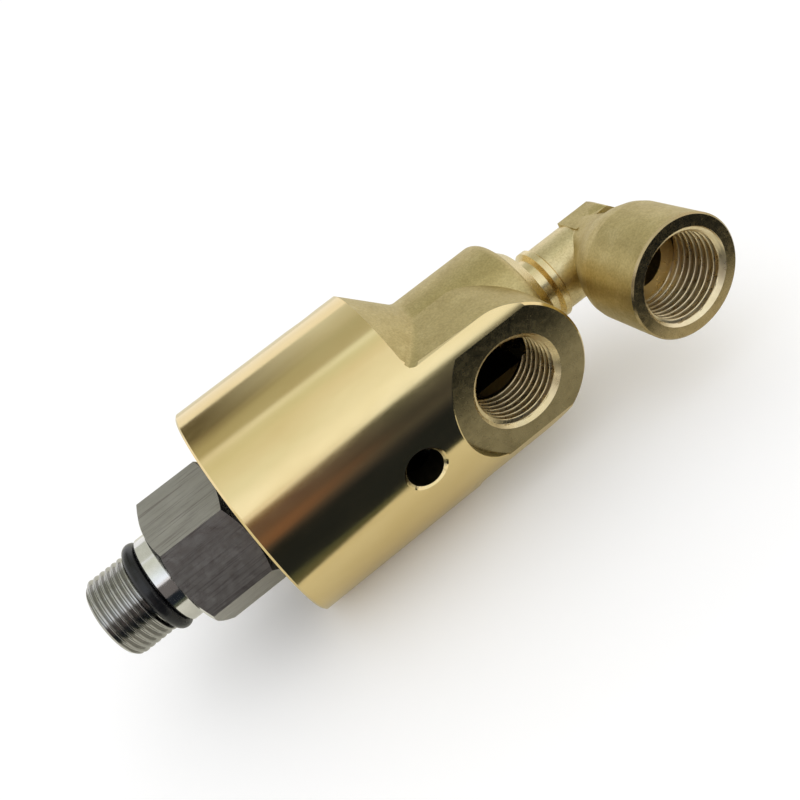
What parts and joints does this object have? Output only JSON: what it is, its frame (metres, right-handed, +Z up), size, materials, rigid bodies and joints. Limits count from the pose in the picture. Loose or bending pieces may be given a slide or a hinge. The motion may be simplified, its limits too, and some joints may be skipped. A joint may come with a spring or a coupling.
{
  "type": "hydraulic rotary union",
  "caption": "Rotary union that feeds hydraulic fluid from still hoses into a spinning shaft, with a side port, a return elbow and a threaded, sealed steel rotor.",
  "frame": {"origin": "on the rotor axis, where the shaft thread's full turns start, at the tip end", "axes": "+X along the rotor axis from the shaft thread to the elbow; the supply port and the elbow's mouth face -Y; +Z up"},
  "size_m": [0.1524, 0.0609, 0.055],
  "materials": {
    "turned_brass": "turned and polished",
    "forged_brass": "blasted forging with machined ends",
    "rotor_steel": "drawn bar, turned thread and pilot",
    "bearing_steel": "ground",
    "sheet_steel": "plain",
    "spring_steel": "oiled",
    "carrier_steel": "turned",
    "carbon": "lapped carbon graphite",
    "seal_face": "lapped tungsten carbide",
    "black_rubber": "smooth nitrile",
    "cage_polymer": "moulded"
  },
  "bodies": {
    "housing": {"housing": "turned_brass", "elbow": "forged_brass", "front_bearing_outer_ring": "bearing_steel", "rear_bearing_outer_ring": "bearing_steel", "front_bearing_shields": "sheet_steel", "rear_bearing_shields": "sheet_steel", "bearing_outer_spacer": "carrier_steel", "housing_circlip": "spring_steel", "anti_rotation_pins": "bearing_steel", "carrier_o_ring": "black_rubber", "seal_spring": "spring_steel"},
    "rotor": {"rotor": "rotor_steel", "shaft_o_ring": "black_rubber", "slinger": "sheet_steel", "front_bearing_inner_ring": "bearing_steel", "rear_bearing_inner_ring": "bearing_steel", "bearing_inner_spacer": "carrier_steel", "rotor_circlip": "spring_steel", "rotor_seal_ring": "seal_face", "rotor_seal_o_ring": "black_rubber"},
    "front_balls": {"front_bearing_cage": "cage_polymer", "front_bearing_balls": "bearing_steel"},
    "rear_balls": {"rear_bearing_cage": "cage_polymer", "rear_bearing_balls": "bearing_steel"},
    "floating_seal": {"carbon_seal_ring": "carbon", "seal_carrier": "carrier_steel"}
  },
  "joints": [
    {"name": "rotor_spin", "type": "hinge", "parent": "housing", "child": "rotor", "pos_m": [0.05, 0, 0], "axis": [1, 0, 0], "continuous": true},
    {"name": "front_balls_roll", "type": "hinge", "parent": "housing", "child": "front_balls", "pos_m": [0.0464, 0, 0], "axis": [1, 0, 0], "continuous": true},
    {"name": "rear_balls_roll", "type": "hinge", "parent": "housing", "child": "rear_balls", "pos_m": [0.0614, 0, 0], "axis": [1, 0, 0], "continuous": true},
    {"name": "seal_float", "type": "slide", "parent": "housing", "child": "floating_seal", "axis": [1, 0, 0], "range_m": [0, 0.0012], "stiffness_N_per_m": 2000, "springref_m": -0.003, "deforming": ["seal_spring"]}
  ],
  "couplings": [
    {"joint": "front_balls_roll", "follows": "rotor_spin", "ratio": 0.3897},
    {"joint": "rear_balls_roll", "follows": "rotor_spin", "ratio": 0.3897}
  ]
}
